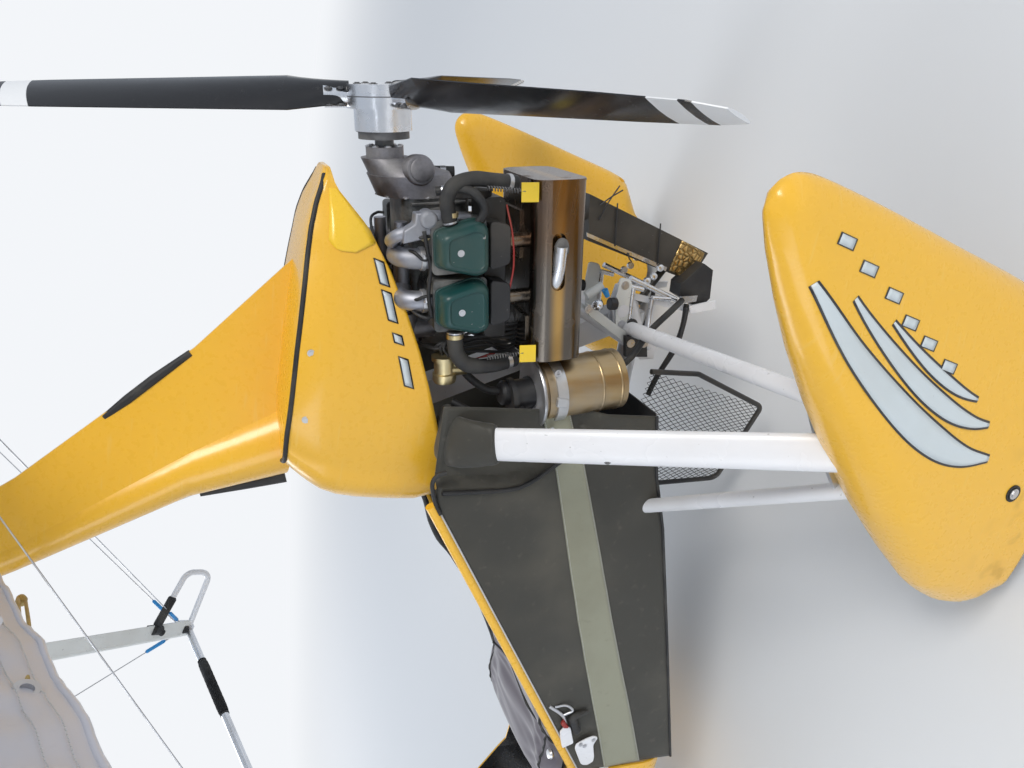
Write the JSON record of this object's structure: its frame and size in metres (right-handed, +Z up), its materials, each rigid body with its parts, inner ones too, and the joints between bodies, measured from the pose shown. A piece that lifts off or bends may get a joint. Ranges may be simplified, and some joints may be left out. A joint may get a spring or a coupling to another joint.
{
  "type": "weight-shift microlight trike with flexible wing",
  "caption": "Two-seat weight-shift microlight: a tandem trike with a pusher engine and faired wheels, hung under a swept cloth wing that is parked with one tip down.",
  "frame": {"origin": "centre of the overall bounding box in plan, at the level of the ground under the wheels", "axes": "+X to port along the span, +Y aft, +Z up; the nose points along -Y"},
  "size_m": [8.0789, 3.6181, 3.3907],
  "materials": {
    "white_paint": "gloss white",
    "satin_aluminium": "satin",
    "yellow_gel": "gloss gel coat",
    "clear_screen": "clear",
    "black_plastic": "matt",
    "seat_fabric": "quilted",
    "charcoal_fabric": "coated cloth",
    "cast_aluminium": "cast",
    "teal_paint": "satin",
    "polished_aluminium": "polished",
    "heat_steel": "heat tinted",
    "black_paint": "satin",
    "tyre_rubber": "matt",
    "rim_paint": "satin",
    "black_blade": "satin",
    "pale_paint": "gloss",
    "black_foam": "foam",
    "sail_cloth": "woven",
    "silver_cloth": "coated",
    "steel_wire": "strand"
  },
  "bodies": {
    "trike": {"axle_carriers": "satin_aluminium", "base_tube": "satin_aluminium", "belly_floor": "charcoal_fabric", "carburettors": "cast_aluminium", "crankcase": "cast_aluminium", "cylinder_heads": "cast_aluminium", "cylinders": "cast_aluminium", "engine_cowl": "yellow_gel", "engine_mount": "black_paint", "front_seat": "seat_fabric", "gearbox": "cast_aluminium", "instrument_panel": "black_plastic", "intake_pipes": "polished_aluminium", "lower_struts": "white_paint", "main_legs": "white_paint", "mast": "white_paint", "nose_strut": "white_paint", "oil_tank": "heat_steel", "oil_tank_cap": "black_plastic", "pod_shell": "yellow_gel", "pylon_fairing": "yellow_gel", "radiator": "black_paint", "rear_seat": "seat_fabric", "rocker_covers": "teal_paint", "seat_frame": "satin_aluminium", "side_rails": "yellow_gel", "side_skirts": "charcoal_fabric", "silencer": "heat_steel", "spats": "yellow_gel", "stone_guard": "black_paint", "suspension_links": "white_paint", "windscreen": "clear_screen"},
    "hang_block": {"hang_block": "satin_aluminium"},
    "wing": {"keel": "satin_aluminium", "base_bar": "polished_aluminium", "uprights": "pale_paint", "training_bars": "pale_paint", "bar_grips": "black_foam", "kingpost": "satin_aluminium", "sail_port": "sail_cloth", "sail_starboard": "sail_cloth", "cover_flap": "silver_cloth", "wing_wires": "steel_wire"},
    "propeller": {"prop_shaft": "black_paint", "prop_spacer": "polished_aluminium", "prop_hub": "polished_aluminium", "prop_blades": "black_blade"},
    "nose_fork": {"nose_fork": "black_paint", "nose_mudguard": "black_plastic"},
    "nose_wheel": {"nose_tyre": "tyre_rubber", "nose_rim": "rim_paint"},
    "main_wheel_port": {"port_tyre": "tyre_rubber", "port_rim": "rim_paint"},
    "main_wheel_starboard": {"starboard_tyre": "tyre_rubber", "starboard_rim": "rim_paint"}
  },
  "joints": [
    {"name": "wing_pitch", "type": "hinge", "parent": "trike", "child": "hang_block", "pos_m": [0, -0.32, 2.44], "axis": [-1, 0, 0], "range_deg": [-19, 3]},
    {"name": "wing_roll", "type": "hinge", "parent": "hang_block", "child": "wing", "pos_m": [0, -0.2907, 2.5251], "axis": [0, 0.9455, -0.3256], "range_deg": [-36, 2]},
    {"name": "prop_spin", "type": "hinge", "parent": "trike", "child": "propeller", "pos_m": [0, 0.96541, 1.21904], "axis": [0, 0.9848, 0.1736], "continuous": true},
    {"name": "nose_steer", "type": "hinge", "parent": "trike", "child": "nose_fork", "pos_m": [0, -1.145, 0.392], "axis": [0, 0.342, 0.9397], "range_deg": [-30, 30]},
    {"name": "nose_wheel_spin", "type": "hinge", "parent": "nose_fork", "child": "nose_wheel", "pos_m": [0, -1.27, 0.165], "axis": [1, 0, 0], "continuous": true},
    {"name": "main_wheel_port_spin", "type": "hinge", "parent": "trike", "child": "main_wheel_port", "pos_m": [0.78, 0.48, 0.165], "axis": [1, 0, 0], "continuous": true},
    {"name": "main_wheel_starboard_spin", "type": "hinge", "parent": "trike", "child": "main_wheel_starboard", "pos_m": [-0.78, 0.48, 0.165], "axis": [1, 0, 0], "continuous": true}
  ]
}
